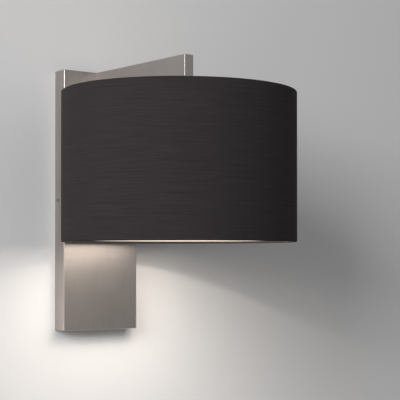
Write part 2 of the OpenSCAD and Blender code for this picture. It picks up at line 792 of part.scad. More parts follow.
// Fabric turned over a wire ring: a roll with a lip that closes the edge up to the drum's skin;
// s is 1 where the roll lies above the edge, at the bottom of the drum
module hem(edge, s, hem_r) {
    middle_r = ring_r(hem_r);
    translate([0, 0, edge + s * hem_r]) rotate_extrude() difference() {
        union() {
            translate([middle_r, 0]) circle(r = hem_r, $fn = 32);
            translate([middle_r, s > 0 ? -hem_r : hem_r - hem_t])
                square([liner_r - middle_r, hem_t]);
        }
        translate([middle_r, 0]) circle(r = hem_r - hem_t, $fn = 32);
    }
}

module shade_top_hem() {
    color("#232122") on_lamp_axis() difference() {
        hem(shade_top, -1, top_hem_r);
        spider_rods(spider_rod_r + hole_gap);
    }
}

module shade_bottom_hem() {
    color("#232122") on_lamp_axis() hem(shade_bottom, 1, bottom_hem_r);
}

module shade_ring() {
    in_r = holder_r + thread_gap;
    color(black) on_lamp_axis() difference() {
        translate([0, 0, nut_top - nut_h]) rotate_extrude() polygon([
            [in_r + 0.6, 0], [nut_r - 0.6, 0], [nut_r, 0.6], [nut_r, nut_h - nut_flange_t],
            [nut_flange_r, nut_h - nut_flange_t], [nut_flange_r, nut_h], [in_r, nut_h],
            [in_r, 0.6]]);
        for (i = [0:nut_grips - 1]) rotate(360 * i / nut_grips)
            translate([nut_r + nut_grip_r / 2, 0, nut_top - nut_h - 1])
                cylinder(r = nut_grip_r, h = nut_h - nut_flange_t + 1, $fn = 24);
    }
}

// The glass's outline: neck, hollow waist and globe, d inside the outer skin
function globe_line(d) = concat(
    [[bulb_neck_r - d, bulb_top - bulb_cap_l + 9]],
    arc([bulb_neck_r + bulb_waist_r, bulb_top - waist_drop], bulb_waist_r + d, 180,
        180 + waist_angle, 8),
    arc([0, bulb_top - globe_drop], bulb_r - d, waist_angle, -90, 18));

module bulb_glass() {
    skin = globe_line(0);
    inner = globe_line(bulb_wall);
    color("#f4ecd8") on_lamp_axis() rotate_extrude()
        polygon(concat(skin, [for (i = [len(inner) - 1:-1:0]) inner[i]]));
}

module bulb_cap() {
    color(zinc) on_lamp_axis() translate([0, 0, bulb_top]) rotate_extrude() polygon([
        [bulb_cap_r, -bulb_cap_l], [bulb_cap_r, -7.5], [11.2, -5.2], [10.8, -5.6],
        [bulb_neck_r + fit_gap, -7.8], [bulb_neck_r + fit_gap, -bulb_cap_l]]);
}

module bulb_insulator() {
    color(black) on_lamp_axis() translate([0, 0, bulb_top]) rotate_extrude() polygon([
        [2, -1.4], [5.4, -1.4], [11, -5.1], [10.6, -5.6], [10, -7], [2, -7]]);
}

module bulb_contact() {
    color(zinc) on_lamp_axis() translate([0, 0, bulb_top]) rotate_extrude() polygon([
        [0, 0], [3.6, 0], [5, -0.7], [5, -1.3], [1.9, -1.3], [1.9, -6], [0, -6]]);
}

// The glass foot that closes the neck, with the stem and four upright light strips on it
module bulb_stem() {
    foot = bulb_top - bulb_cap_l + 8;
    stem_l = 32;
    strip_l = 30;
    color(white) on_lamp_axis() {
        translate([0, 0, foot]) rotate_extrude() polygon([
            [0, 1], [bulb_neck_r - bulb_wall - 0.3, 1], [bulb_neck_r - bulb_wall - 0.3, 0], [6, -2],
            [3.5, -7], [3.5, -stem_l], [1.5, -stem_l - 3], [0, -stem_l - 3]]);
        for (i = [0:3]) rotate(90 * i) {
            translate([0, 0, foot - stem_l + 1.5]) rod_x(0.5, 0, 8);
            translate([8, 0, foot - stem_l - strip_l + 2]) cylinder(r = 1, h = strip_l, $fn = 16);
        }
    }
}

wall_bracket();
cable_bush();
terminal_block();
terminal_inserts();
terminal_screws();
terminal_fixing_screws();
earth_screws();
earth_rings();
backplate_cover();
side_screws();
arm_backing_plate();
arm_screws();
arm_root_block();
arm_shell();
arm_foot_block();
live_wire();
neutral_wire();
earth_wires();
carrier_plate();
carrier_screws();
nipple();
lampholder_cap();
lampholder_skirt();
lampholder_insert();
lampholder_shell();
centre_contact();
lampholder_terminals();
shade_fabric();
shade_liner();
shade_spider();
shade_bottom_ring();
shade_top_hem();
shade_bottom_hem();
shade_ring();
bulb_glass();
bulb_cap();
bulb_insulator();
bulb_stem();
bulb_contact();
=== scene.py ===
# Looks of a wall sconce: a satin nickel backplate and arm, a dark drum shade with a pale lining, and
# the lampholder, ring nut and bulb inside it. Lengths are metres, in the part's own frame.
import json
import math

import bmesh
import bpy
from mathutils import Matrix, Vector


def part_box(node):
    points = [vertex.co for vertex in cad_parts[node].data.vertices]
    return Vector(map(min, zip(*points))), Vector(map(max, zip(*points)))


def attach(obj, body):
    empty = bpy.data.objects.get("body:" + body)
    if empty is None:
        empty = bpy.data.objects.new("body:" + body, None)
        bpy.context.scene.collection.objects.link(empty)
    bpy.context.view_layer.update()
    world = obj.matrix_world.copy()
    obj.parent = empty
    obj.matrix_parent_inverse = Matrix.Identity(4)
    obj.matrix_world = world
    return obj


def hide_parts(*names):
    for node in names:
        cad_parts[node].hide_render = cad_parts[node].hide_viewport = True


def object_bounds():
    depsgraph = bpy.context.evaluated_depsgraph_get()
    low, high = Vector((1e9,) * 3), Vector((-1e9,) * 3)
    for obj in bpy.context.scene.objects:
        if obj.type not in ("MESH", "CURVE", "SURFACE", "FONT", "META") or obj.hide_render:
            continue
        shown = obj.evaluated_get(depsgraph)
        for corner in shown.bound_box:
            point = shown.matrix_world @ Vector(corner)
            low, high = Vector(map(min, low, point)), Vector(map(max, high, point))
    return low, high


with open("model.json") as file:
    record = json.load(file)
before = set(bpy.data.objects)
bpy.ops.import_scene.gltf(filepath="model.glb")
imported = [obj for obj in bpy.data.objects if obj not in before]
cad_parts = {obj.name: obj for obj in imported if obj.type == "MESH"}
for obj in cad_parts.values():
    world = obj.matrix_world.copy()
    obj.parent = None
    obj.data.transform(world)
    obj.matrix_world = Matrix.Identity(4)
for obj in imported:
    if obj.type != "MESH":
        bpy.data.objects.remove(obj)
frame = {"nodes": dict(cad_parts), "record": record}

MM = 0.001
cad_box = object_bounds()
scene = bpy.context.scene

# Camera: its place, the way it looks, and its lens for a 36 mm wide picture
CAMERA_PLACE = Vector((-0.8014, -1.2606, -0.0687))
CAMERA_YAW = math.radians(37.31)
CAMERA_TILT_UP = math.radians(0.92)
CAMERA_LENS = 114.23
CAMERA_SHIFT_UP = 0.1

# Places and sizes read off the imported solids, each the low and the high corner of its box
plate_low, plate_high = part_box("backplate_cover")
arm_low, arm_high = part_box("arm_shell")
shade_low, shade_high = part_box("shade_fabric")
liner_low, liner_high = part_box("shade_liner")
top_hem_low, top_hem_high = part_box("shade_top_hem")
bottom_hem_low, bottom_hem_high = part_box("shade_bottom_hem")
spider_low, spider_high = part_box("shade_spider")
ring_low, ring_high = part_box("shade_ring")
cap_low, cap_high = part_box("lampholder_cap")
skirt_low, skirt_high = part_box("lampholder_skirt")
shell_low, shell_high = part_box("lampholder_shell")
globe_low, globe_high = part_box("bulb_glass")
bulb_cap_low, bulb_cap_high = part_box("bulb_cap")
lamp_axis = Vector(((shade_low.x + shade_high.x) / 2, (shade_low.y + shade_high.y) / 2, 0))
shade_radius = (shade_high.x - shade_low.x) / 2
globe_radius = (globe_high.x - globe_low.x) / 2
globe_centre = lamp_axis + Vector((0, 0, globe_low.z + globe_radius))


# Nodes and colours

def linear(code):
    """A colour written as sRGB hex, as linear red, green, blue and alpha."""
    parts = [int(code[i:i + 2], 16) / 255 for i in (1, 3, 5)]
    return (*[c / 12.92 if c <= 0.04045 else ((c + 0.055) / 1.055) ** 2.4 for c in parts], 1.0)


def add(tree, kind, sockets=None, **settings):
    """Adds one shader node; sockets maps an input's name or number to a value or to an output."""
    node = tree.nodes.new("ShaderNode" + kind)
    for name, value in settings.items():
        setattr(node, name, value)
    for name, value in (sockets or {}).items():
        if isinstance(value, bpy.types.NodeSocket):
            tree.links.new(value, node.inputs[name])
        else:
            node.inputs[name].default_value = value
    return node


def finish(name, colour, rough, metallic=0.0, **sockets):
    """A material whose one shader has these fixed values; returns it with its tree and shader."""
    material = bpy.data.materials.new(name)
    material.use_nodes = True
    tree = material.node_tree
    skin = tree.nodes["Principled BSDF"]
    values = {"Base Color": linear(colour), "Roughness": rough, "Metallic": metallic, **sockets}
    for socket, value in values.items():
        skin.inputs[socket].default_value = value
    return material, tree, skin


def grain(tree, size, detail=2.0, stretch=(1, 1, 1), source="Object"):
    """Noise from 0 to 1 whose spots measure size metres, drawn out by stretch along each axis."""
    place = add(tree, "TexCoord").outputs[source]
    scale = [1 / (size * s) for s in stretch]
    laid = add(tree, "Mapping", {"Vector": place, "Scale": scale})
    noise = add(tree, "TexNoise", {"Vector": laid.outputs[0], "Scale": 1.0, "Detail": detail})
    return noise.outputs["Fac"]


def shade_between(tree, skin, noise, first, second, low=0.35, high=0.65):
    """Colours the skin from first to second as the noise goes from low to high."""
    ramp = add(tree, "ValToRGB", {"Fac": noise})
    for stop, place, code in zip(ramp.color_ramp.elements, (low, high), (first, second)):
        stop.position = place
        stop.color = linear(code)
    tree.links.new(ramp.outputs["Color"], skin.inputs["Base Color"])


def vary_rough(tree, skin, noise, low, high):
    """Lets the roughness follow the noise between two values."""
    spread = add(tree, "MapRange", {"Value": noise, "From Min": 0.3, "From Max": 0.7,
        "To Min": low, "To Max": high})
    tree.links.new(spread.outputs["Result"], skin.inputs["Roughness"])


def emboss(tree, skin, height, depth, strength):
    """Raises the skin by the height pattern, depth metres from its lowest to its highest point."""
    bump = add(tree, "Bump", {"Height": height, "Distance": depth, "Strength": strength})
    tree.links.new(bump.outputs["Normal"], skin.inputs["Normal"])


# Materials

def satin_nickel(name, along):
    """Brushed matt nickel plate: fine lines along one axis, soft reflections and a warm cast."""
    material, tree, skin = finish(name, "#b0a9a5", 0.26, 1.0)
    # The real lines are about 0.05 mm apart; 0.25 mm lines are drawn so that they show
    lines = grain(tree, 0.25 * MM, detail=3.0, stretch=[160 if axis == along else 1 for axis in "xyz"])
    clouds = grain(tree, 45 * MM)
    shade_between(tree, skin, clouds, "#ada6a2", "#b3aca8")
    vary_rough(tree, skin, lines, 0.27, 0.3)
    emboss(tree, skin, lines, 0.002 * MM, 0.5)
    return material


def zinc_plate():
    """Bright zinc on pressed steel: bluish grey with the faint yellow clouds of passivation."""
    material, tree, skin = finish("zinc_plated_steel", "#b3b6b9", 0.36, 1.0)
    clouds = grain(tree, 14 * MM, detail=4.0)
    shade_between(tree, skin, clouds, "#aeb3b8", "#bdbbb0", low=0.3, high=0.75)
    fine = grain(tree, 0.6 * MM)
    vary_rough(tree, skin, fine, 0.3, 0.44)
    emboss(tree, skin, fine, 0.01 * MM, 0.4)
    return material


def machined_steel():
    """Turned and milled steel: fine tool lines round the piece and a dull shine."""
    material, tree, skin = finish("machined_steel", "#9fa0a1", 0.34, 1.0)
    lines = grain(tree, 0.3 * MM, stretch=(30, 30, 1))
    shade_between(tree, skin, grain(tree, 6 * MM), "#97989a", "#a8a8a6")
    vary_rough(tree, skin, lines, 0.28, 0.42)
    return material


def brass():
    """Pressed brass, a little uneven in colour where fingers and heat have dulled it."""
    material, tree, skin = finish("pressed_brass", "#c9a55e", 0.3, 1.0)
    shade_between(tree, skin, grain(tree, 5 * MM, detail=3.0), "#b98f4c", "#d1b06c")
    vary_rough(tree, skin, grain(tree, 0.8 * MM), 0.24, 0.38)
    return material


def moulded_black():
    """Black thermoplastic polyester: satin, with the fine spark texture of its mould."""
    material, tree, skin = finish("moulded_black_polyester", "#1c1c1d", 0.42)
    texture = grain(tree, 0.5 * MM)
    shade_between(tree, skin, grain(tree, 12 * MM), "#19191a", "#202021")
    vary_rough(tree, skin, texture, 0.36, 0.5)
    emboss(tree, skin, texture, 0.02 * MM, 0.4)
    return material


def rubber():
    """Black rubber: matt, with a dusty bloom in patches."""
    material, tree, skin = finish("black_rubber", "#1a1a1a", 0.78)
    shade_between(tree, skin, grain(tree, 4 * MM, detail=3.0), "#161616", "#242423")
    emboss(tree, skin, grain(tree, 0.4 * MM), 0.03 * MM, 0.5)
    return material


def polyamide():
    """Natural polyamide: milky off-white that lets a little light in."""
    material, tree, skin = finish("white_polyamide", "#e5e0d3", 0.45,
        **{"Subsurface Weight": 0.15, "Subsurface Scale": 0.5 * MM})
    shade_between(tree, skin, grain(tree, 8 * MM), "#e1dccd", "#e9e5da")
    emboss(tree, skin, grain(tree, 0.4 * MM), 0.015 * MM, 0.4)
    return material


def porcelain():
    """Glazed steatite: warm white under a hard clear glaze with faint ripples."""
    material, tree, skin = finish("glazed_steatite", "#e9e4d8", 0.28,
        **{"Coat Weight": 0.6, "Coat Roughness": 0.08})
    shade_between(tree, skin, grain(tree, 3 * MM, detail=4.0), "#e4dece", "#eeeae1")
    emboss(tree, skin, grain(tree, 2.5 * MM), 0.03 * MM, 0.4)
    return material


def wire_sheath(name, colour, darker):
    """PVC wire insulation: smooth and slightly waxy."""
    material, tree, skin = finish(name, colour, 0.42)
    shade_between(tree, skin, grain(tree, 3 * MM), darker, colour)
    emboss(tree, skin, grain(tree, 0.8 * MM), 0.01 * MM, 0.4)
    return material


def earth_sheath():
    """PVC wire insulation of the earth wires: smooth plain green."""
    return finish("green_pvc", "#4f8a3c", 0.42)[0]


def slub_cotton():
    """Charcoal cotton with uneven weft threads: short dark and pale lines run round the drum."""
    material, tree, skin = finish("charcoal_slub_cotton", "#2f2b2c", 0.9,
        **{"Specular IOR Level": 0.15})
    # Weft threads lie 0.6 mm apart; the slubs that show are about 1 mm high and 70 mm long
    slubs = grain(tree, 1.0 * MM, detail=1.0, stretch=(70, 1, 1), source="UV")
    threads = grain(tree, 0.6 * MM, detail=1.0, stretch=(60, 1, 1), source="UV")
    warp = grain(tree, 0.8 * MM, detail=1.0, stretch=(1, 12, 1), source="UV")
    rows = add(tree, "Math", {0: slubs, 1: threads}, operation="ADD")
    middle = add(tree, "Math", {0: rows.outputs[0], 1: 0.5}, operation="MULTIPLY")
    shade_between(tree, skin, middle.outputs[0], "#2b2728", "#343031", low=0.36, high=0.64)
    weave = add(tree, "Math", {0: rows.outputs[0], 1: warp}, operation="ADD")
    emboss(tree, skin, weave.outputs[0], 0.05 * MM, 0.5)
    return material


def styrene_lining():
    """White styrene film behind the cloth, with a painted glow: its emission stands in for the bulb's
    light on it, more so low down.
    """
    material, tree, skin = finish("white_styrene_film", "#e9e4da", 0.5,
        **{"Emission Color": linear("#fff4e8")})
    clouds = grain(tree, 1.2 * MM, stretch=(20, 1, 1), source="UV")
    shade_between(tree, skin, clouds, "#e6e0d5", "#ece7df")
    place = add(tree, "SeparateXYZ", {"Vector": add(tree, "TexCoord").outputs["Object"]})
    # Painted glow: the film's emission stands in for the bulb's light, even from the bulb's middle
    # down and fading to the drum's top
    glow = add(tree, "MapRange", {"Value": place.outputs["Z"],
        "From Min": globe_centre.z, "From Max": shade_high.z,
        "To Min": PAINTED_LINING_GLOW, "To Max": PAINTED_LINING_GLOW_TOP})
    tree.links.new(glow.outputs["Result"], skin.inputs["Emission Strength"])
    ridges = grain(tree, 0.8 * MM, detail=1.0, stretch=(20, 1, 1), source="UV")
    emboss(tree, skin, ridges, 0.04 * MM, 0.4)
    return material


def white_enamel():
    """White powder coat on wire: soft gloss with a fine orange peel."""
    material, tree, skin = finish("white_powder_coat", "#e4e1da", 0.38, **{"Coat Weight": 0.2})
    shade_between(tree, skin, grain(tree, 10 * MM), "#dfdbd3", "#e8e5df")
    emboss(tree, skin, grain(tree, 0.9 * MM), 0.02 * MM, 0.5)
    return material


def opal_glass():
    """Opal glass lit from inside: an even warm white with a soft outer gloss."""
    material, tree, skin = finish("lit_opal_glass", "#f1ebdf", 0.3,
        **{"Coat Weight": 0.4, "Coat Roughness": 0.1,
        "Emission Color": linear("#ffedd0"), "Emission Strength": 0.75})
    shade_between(tree, skin, grain(tree, 20 * MM), "#eee7da", "#f4efe5")
    return material


def dark_glass():
    """Black vitrite glass: very smooth and almost black."""
    material, tree, skin = finish("black_vitrite", "#131318", 0.1, **{"Coat Weight": 0.5})
    shade_between(tree, skin, grain(tree, 2 * MM), "#101014", "#1c1c24")
    return material


def stem_glass():
    """Drawn lead glass of the bulb's foot, seen as a pale green white."""
    material, tree, skin = finish("drawn_stem_glass", "#dfe5df", 0.12, **{"Coat Weight": 0.5})
    shade_between(tree, skin, grain(tree, 5 * MM), "#d8dfd8", "#e6eae5")
    return material


def cap_metal():
    """Nickel-plated aluminium of the bulb's cap: bright, with rolling marks round it."""
    material, tree, skin = finish("plated_bulb_cap", "#b9babb", 0.28, 1.0)
    lines = grain(tree, 0.4 * MM, stretch=(30, 30, 1))
    shade_between(tree, skin, grain(tree, 4 * MM), "#b0b1b3", "#c2c2c1")
    vary_rough(tree, skin, lines, 0.22, 0.36)
    return material


# Painted glow of the lining, as emission strength standing in for the bulb's light: up to the bulb's
# middle and at the drum's top
PAINTED_LINING_GLOW = 0.48
PAINTED_LINING_GLOW_TOP = 0.1

FINISHES = {
    "nickel": satin_nickel("satin_nickel_upright", "z"),
    "zinc": zinc_plate(),
    "steel": machined_steel(),
    "brass": brass(),
    "black_plastic": moulded_black(),
    "black_rubber": rubber(),
    "white_plastic": polyamide(),
    "porcelain": porcelain(),
    "brown_wire": wire_sheath("brown_pvc", "#744529", "#66391f"),
    "blue_wire": wire_sheath("blue_pvc", "#3a6ea8", "#2f5f97"),
    "green_wire": earth_sheath(),
    "shade_fabric": slub_cotton(),
    "shade_liner": styrene_lining(),
    "white_enamel": white_enamel(),
    "opal_glass": opal_glass(),
    "black_glass": dark_glass(),
    "stem_glass": stem_glass(),
    "bulb_cap": cap_metal(),
}
ARM_NICKEL = satin_nickel("satin_nickel_level", "y")


# Mesh tools

# Points closer than this are one point
MERGE = 1e-6


def make_piece(name, bm, body, slot, replaces, material=None, sharp=35, sheet=False):
    """Makes the bmesh a piece that stands for CAD nodes and rides on their body; edges that turn
    by more than sharp degrees stay crisp, and an open sheet keeps its own normals."""
    if not sheet:
        bmesh.ops.recalc_face_normals(bm, faces=bm.faces)
    for face in bm.faces:
        face.smooth = True
    for edge in bm.edges:
        edge.smooth = not edge.is_manifold or edge.calc_face_angle() < math.radians(sharp)
    mesh = bpy.data.meshes.new(name)
    bm.to_mesh(mesh)
    bm.free()
    mesh.materials.append(material or FINISHES[slot])
    piece = bpy.data.objects.new(name, mesh)
    scene.collection.objects.link(piece)
    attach(piece, body)
    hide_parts(*replaces)
    return piece


def cut(bm, place, way):
    """Cuts off all that lies past a place in one direction."""
    bmesh.ops.bisect_plane(bm, geom=bm.verts[:] + bm.edges[:] + bm.faces[:], plane_co=place,
        plane_no=way, clear_outer=True, dist=MERGE)


def soft_box(low, high, edge):
    """A new bmesh with a box between two corners, its edges rounded, open on the wall's side."""
    bm = bmesh.new()
    deep = Vector((high.x, high.y + 4 * edge, high.z))
    matrix = Matrix.Translation((low + deep) / 2) @ Matrix.Diagonal((*(deep - low), 1))
    bmesh.ops.create_cube(bm, size=1, matrix=matrix)
    bmesh.ops.bevel(bm, geom=bm.edges[:], offset=edge, segments=4, affect="EDGES", profile=0.5,
        material=-1)
    cut(bm, high, (0, 1, 0))
    return bm


def add_rod(bm, start, end, radius):
    """Adds a closed cylinder from start to end."""
    start, end = Vector(start), Vector(end)
    turn = (end - start).to_track_quat("Z", "Y").to_matrix().to_4x4()
    bmesh.ops.create_cone(bm, cap_ends=True, segments=32, radius1=radius, radius2=radius,
        depth=(end - start).length, matrix=Matrix.Translation((start + end) / 2) @ turn)


def add_ball(bm, centre, radii, turn):
    """Adds a ball with a radius along each axis, turned round Z."""
    matrix = Matrix.Translation(centre) @ Matrix.Rotation(turn, 4, "Z") @ Matrix.Diagonal((*radii, 1))
    bmesh.ops.create_uvsphere(bm, u_segments=20, v_segments=12, radius=1, matrix=matrix)


def add_turned(bm, line, steps=96):
    """Turns a closed line of (radius, height) points round the Z axis; a third value in a point
    rounds that corner by so much."""
    others = {*bm.verts, *bm.edges}
    made = [bm.verts.new((point[0], 0, point[1])) for point in line]
    for pair in zip(made, made[1:] + made[:1]):
        bm.edges.new(pair)
    for vert, point in zip(made, line):
        if len(point) > 2:
            bmesh.ops.bevel(bm, geom=[vert], offset=point[2], segments=4, affect="VERTICES",
                profile=0.5, material=-1)
    geom = [part for part in (*bm.verts, *bm.edges) if part not in others]
    bmesh.ops.spin(bm, geom=geom, cent=(0, 0, 0), axis=(0, 0, 1), angle=math.tau, steps=steps,
        use_merge=True)


def turned(line, steps=96):
    """A new bmesh with a turned line in it, merged at its poles."""
    bm = bmesh.new()
    add_turned(bm, line, steps)
    bmesh.ops.remove_doubles(bm, verts=bm.verts, dist=MERGE)
    return bm


def add_thread(bm, tooth, pitch, low, high, steps=72):
    """Screws a closed tooth outline of (radius, height) points up the Z axis, low to high."""
    made = [bm.verts.new((r, 0, low + z)) for r, z in tooth]
    edges = [bm.edges.new(pair) for pair in zip(made, made[1:] + made[:1])]
    face = bm.faces.new(made)
    turns = (high - low) / pitch
    whole = round(turns * steps)
    bmesh.ops.spin(bm, geom=[*made, *edges, face], cent=(0, 0, 0), axis=(0, 0, 1),
        dvec=(0, 0, pitch / steps), angle=math.tau * whole / steps, steps=whole)


def rolled_thread(radius, depth, pitch, low, high, wall, steps=48):
    """A thin sleeve with a thread rolled into it, cut level at both ends."""
    bm = bmesh.new()
    points = 10
    line = [(radius - depth * (1 - math.cos(math.tau * t)) / 2, low - pitch + pitch * t)
        for t in (i / points for i in range(points + 1))]
    made = [bm.verts.new((r, 0, z)) for r, z in line]
    edges = [bm.edges.new(pair) for pair in zip(made, made[1:])]
    turns = math.ceil((high - low) / pitch) + 2
    bmesh.ops.spin(bm, geom=made + edges, cent=(0, 0, 0), axis=(0, 0, 1),
        dvec=(0, 0, pitch / steps), angle=math.tau * turns, steps=turns * steps)
    bmesh.ops.remove_doubles(bm, verts=bm.verts, dist=MERGE)
    cut(bm, (0, 0, low), (0, 0, -1))
    cut(bm, (0, 0, high), (0, 0, 1))
    bmesh.ops.recalc_face_normals(bm, faces=bm.faces)
    bmesh.ops.solidify(bm, geom=bm.faces[:], thickness=wall)
    return bm


def softened(path, reach, steps=8):
    """A path with its corners turned into short curves that start at reach from each corner, or
    nearer where the path is short."""
    most = 1 / 2.2
    soft = [path[0]]
    for before, corner, after in zip(path, path[1:], path[2:]):
        back, on = before - corner, after - corner
        start = corner + back.normalized() * min(reach, back.length * most)
        end = corner + on.normalized() * min(reach, on.length * most)
        for t in (i / steps for i in range(steps + 1)):
            soft.append(start * (1 - t) ** 2 + corner * 2 * t * (1 - t) + end * t ** 2)
    return soft + [path[-1]]


def add_tube(bm, path, radius):
    """Adds a round tube along a path of points."""
    curve = bpy.data.curves.new("tube", "CURVE")
    curve.dimensions = "3D"
    curve.bevel_depth = radius
    curve.bevel_resolution = 4
    curve.use_fill_caps = True
    line = curve.splines.new("POLY")
    line.points.add(len(path) - 1)
    for point, place in zip(line.points, path):
        point.co = (*place, 1)
    holder = bpy.data.objects.new("tube", curve)
    mesh = bpy.data.meshes.new_from_object(holder)
    bm.from_mesh(mesh)
    bpy.data.objects.remove(holder)
    bpy.data.curves.remove(curve)
    bpy.data.meshes.remove(mesh)


def bored(bm, rods):
    """The bmesh with round holes, each given as start, end and radius."""
    holders = []
    tool = bmesh.new()
    for start, end, radius in rods:
        add_rod(tool, start, end, radius)
    bmesh.ops.recalc_face_normals(bm, faces=bm.faces)
    for shape in (bm, tool):
        mesh = bpy.data.meshes.new("bored")
        shape.to_mesh(mesh)
        shape.free()
        holders.append(bpy.data.objects.new("bored", mesh))
        scene.collection.objects.link(holders[-1])
    modifier = holders[0].modifiers.new("Holes", "BOOLEAN")
    modifier.object = holders[1]
    modifier.solver = "EXACT"
    drilled = bpy.data.meshes.new_from_object(
        holders[0].evaluated_get(bpy.context.evaluated_depsgraph_get()))
    result = bmesh.new()
    result.from_mesh(drilled)
    for holder in holders:
        bpy.data.objects.remove(holder)
    return result


def on_lamp_axis(bm):
    """Moves what was made round the origin to the lamp's upright axis."""
    bmesh.ops.translate(bm, vec=lamp_axis, verts=bm.verts)
    return bm


def keep_flat(piece):
    """Keeps large flat faces evenly shaded beside their rounded edges."""
    piece.modifiers.new("Flat faces", "WEIGHTED_NORMAL").keep_sharp = True


# Pieces that stay on the wall

PLATE_WALL = 1.5 * MM
PLATE_EDGE = 1.2 * MM
ARM_EDGE = 0.6 * MM
# Gap between a screw and a plain hole that it passes
HOLE_GAP = 0.3 * MM


def make_backplate():
    """The folded box: outer walls with soft edges, open at the wall, drilled for its screws."""
    bm = soft_box(plate_low, plate_high, PLATE_EDGE)
    bmesh.ops.recalc_face_normals(bm, faces=bm.faces)
    bmesh.ops.solidify(bm, geom=bm.faces[:], thickness=PLATE_WALL)
    side_low, side_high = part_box("side_screws")
    arm_screws_low, arm_screws_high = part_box("arm_screws")
    head_r = (arm_screws_high.x - arm_screws_low.x) / 2
    shaft_hole_r = 2.5 * MM + HOLE_GAP
    side_hole_r = (side_high.y - side_low.y) / 2 + HOLE_GAP
    side_y = (side_low.y + side_high.y) / 2
    outside, inside = 2 * MM, 3 * MM
    holes = [((s * (plate_high.x - inside), side_y, 0), (s * (plate_high.x + outside), side_y, 0),
        side_hole_r) for s in (-1, 1)]
    holes += [((0, plate_low.y + inside, z), (0, plate_low.y - outside, z), shaft_hole_r)
        for z in (arm_screws_low.z + head_r, arm_screws_high.z - head_r)]
    keep_flat(make_piece("backplate", bored(bm, holes), "fixture", "nickel", ["backplate_cover"]))


def make_arm():
    """The slim arm: a closed box with crisp soft edges, its root flat on the backplate."""
    bm = soft_box(arm_low, arm_high, ARM_EDGE)
    bmesh.ops.holes_fill(bm, edges=[e for e in bm.edges if e.is_boundary])
    keep_flat(make_piece("arm", bm, "fixture", "nickel", ["arm_shell"], ARM_NICKEL))


# Lampholder

# How far the ring nut and the bulb sink in one turn
RING_PITCH = 2.5 * MM
LAMP_PITCH = 3.63 * MM


def make_holder_cap():
    """Upper half of the lampholder: a domed cap with fine grip ribs above its seam."""
    top, seam = cap_high.z, cap_low.z
    outer = (cap_high.x - cap_low.x) / 2
    neck, dome, wall, bore, chamfer = 9 * MM, 10.5 * MM, 2.2 * MM, 5.1 * MM, 0.3 * MM
    neck_foot = top - 6 * MM
    ribs, rib_depth = 36, 0.5 * MM
    groove = outer - rib_depth
    foot_low, foot_high = seam + 1 * MM, seam + 1.6 * MM
    head_low, head_high = seam + 8.4 * MM, seam + 9 * MM
    arc = [(neck + dome * math.cos(a), neck_foot - dome + dome * math.sin(a))
        for a in (math.pi / 2 * i / 10 for i in range(11))]
    line = [(outer - wall, seam), (outer - chamfer, seam), (outer, seam + chamfer),
        (outer, foot_low), (groove, foot_high), (groove, head_low), (outer, head_high), *arc,
        (neck, top, 0.8 * MM), (bore, top, 0.4 * MM), (bore, neck_foot - wall),
        (outer - wall, neck_foot - dome)]
    bm = turned(line, ribs * 8)
    for v in bm.verts:
        r = v.co.xy.length
        between = (foot_low + foot_high) / 2 < v.co.z < (head_low + head_high) / 2
        if between and r > groove - rib_depth:
            wave = 0.5 + 0.5 * math.cos(ribs * math.atan2(v.co.y, v.co.x))
            v.co.xy *= (r + rib_depth * wave) / r
    make_piece("holder_cap", on_lamp_axis(bm), "fixture", "black_plastic", ["lampholder_cap"],
        sharp=40)


def make_holder_skirt():
    """Lower half of the lampholder: a flange for the shade and a coarse moulded thread below."""
    low, high = skirt_low.z, skirt_high.z
    flange_r = (skirt_high.x - skirt_low.x) / 2
    outer, root, inner, lip_r = 19.5 * MM, 18.8 * MM, 16.7 * MM, 14.5 * MM
    flange_t, collar_h, lip_t, rebate = 3 * MM, 5 * MM, 2 * MM, 0.5 * MM
    seam = high - collar_h
    shoulder = seam - flange_t
    line = [(lip_r, low, 0.4 * MM), (root, low, 0.8 * MM), (root, shoulder - 1.2 * MM),
        (outer, shoulder - 0.6 * MM), (outer, shoulder), (flange_r, shoulder, 0.4 * MM),
        (flange_r, seam, 0.5 * MM), (inner + rebate, seam), (inner + rebate, high), (inner, high),
        (inner, low + lip_t), (lip_r, low + lip_t, 0.4 * MM)]
    bm = turned(line, 144)
    depth, crest, sunk, chamfer = outer - root, 0.6 * MM, 0.2 * MM, 0.1 * MM
    tooth = [(root - sunk, 0), (root, 0), (outer - chamfer, depth), (outer, depth + 0.15 * MM),
        (outer, depth + crest - 0.15 * MM), (outer - chamfer, depth + crest),
        (root, 2 * depth + crest), (root - sunk, 2 * depth + crest)]
    thread_low, thread_high = low + 1.5 * MM, shoulder - 3.5 * MM
    add_thread(bm, tooth, RING_PITCH, thread_low, thread_high)
    make_piece("holder_skirt", on_lamp_axis(bm), "fixture", "black_plastic", ["lampholder_skirt"],
        sharp=40)


def make_screw_shell():
    """The brass screw shell, its thread rolled from thin sheet, with the flange that seats it."""
    outer, top = (shell_high.x - shell_low.x) / 2, shell_high.z
    wall, depth, plain, flange_in = 0.35 * MM, 0.7 * MM, 3 * MM, 9 * MM
    bm = rolled_thread(outer, depth, LAMP_PITCH, shell_low.z, top - plain, -wall)
    add_turned(bm, [(outer, top - plain), (outer, top, 0.3 * MM), (flange_in, top),
        (flange_in, top - wall), (outer - wall, top - wall, 0.2 * MM), (outer - wall, top - plain)])
    make_piece("screw_shell", on_lamp_axis(bm), "fixture", "brass", ["lampholder_shell"], sharp=40)


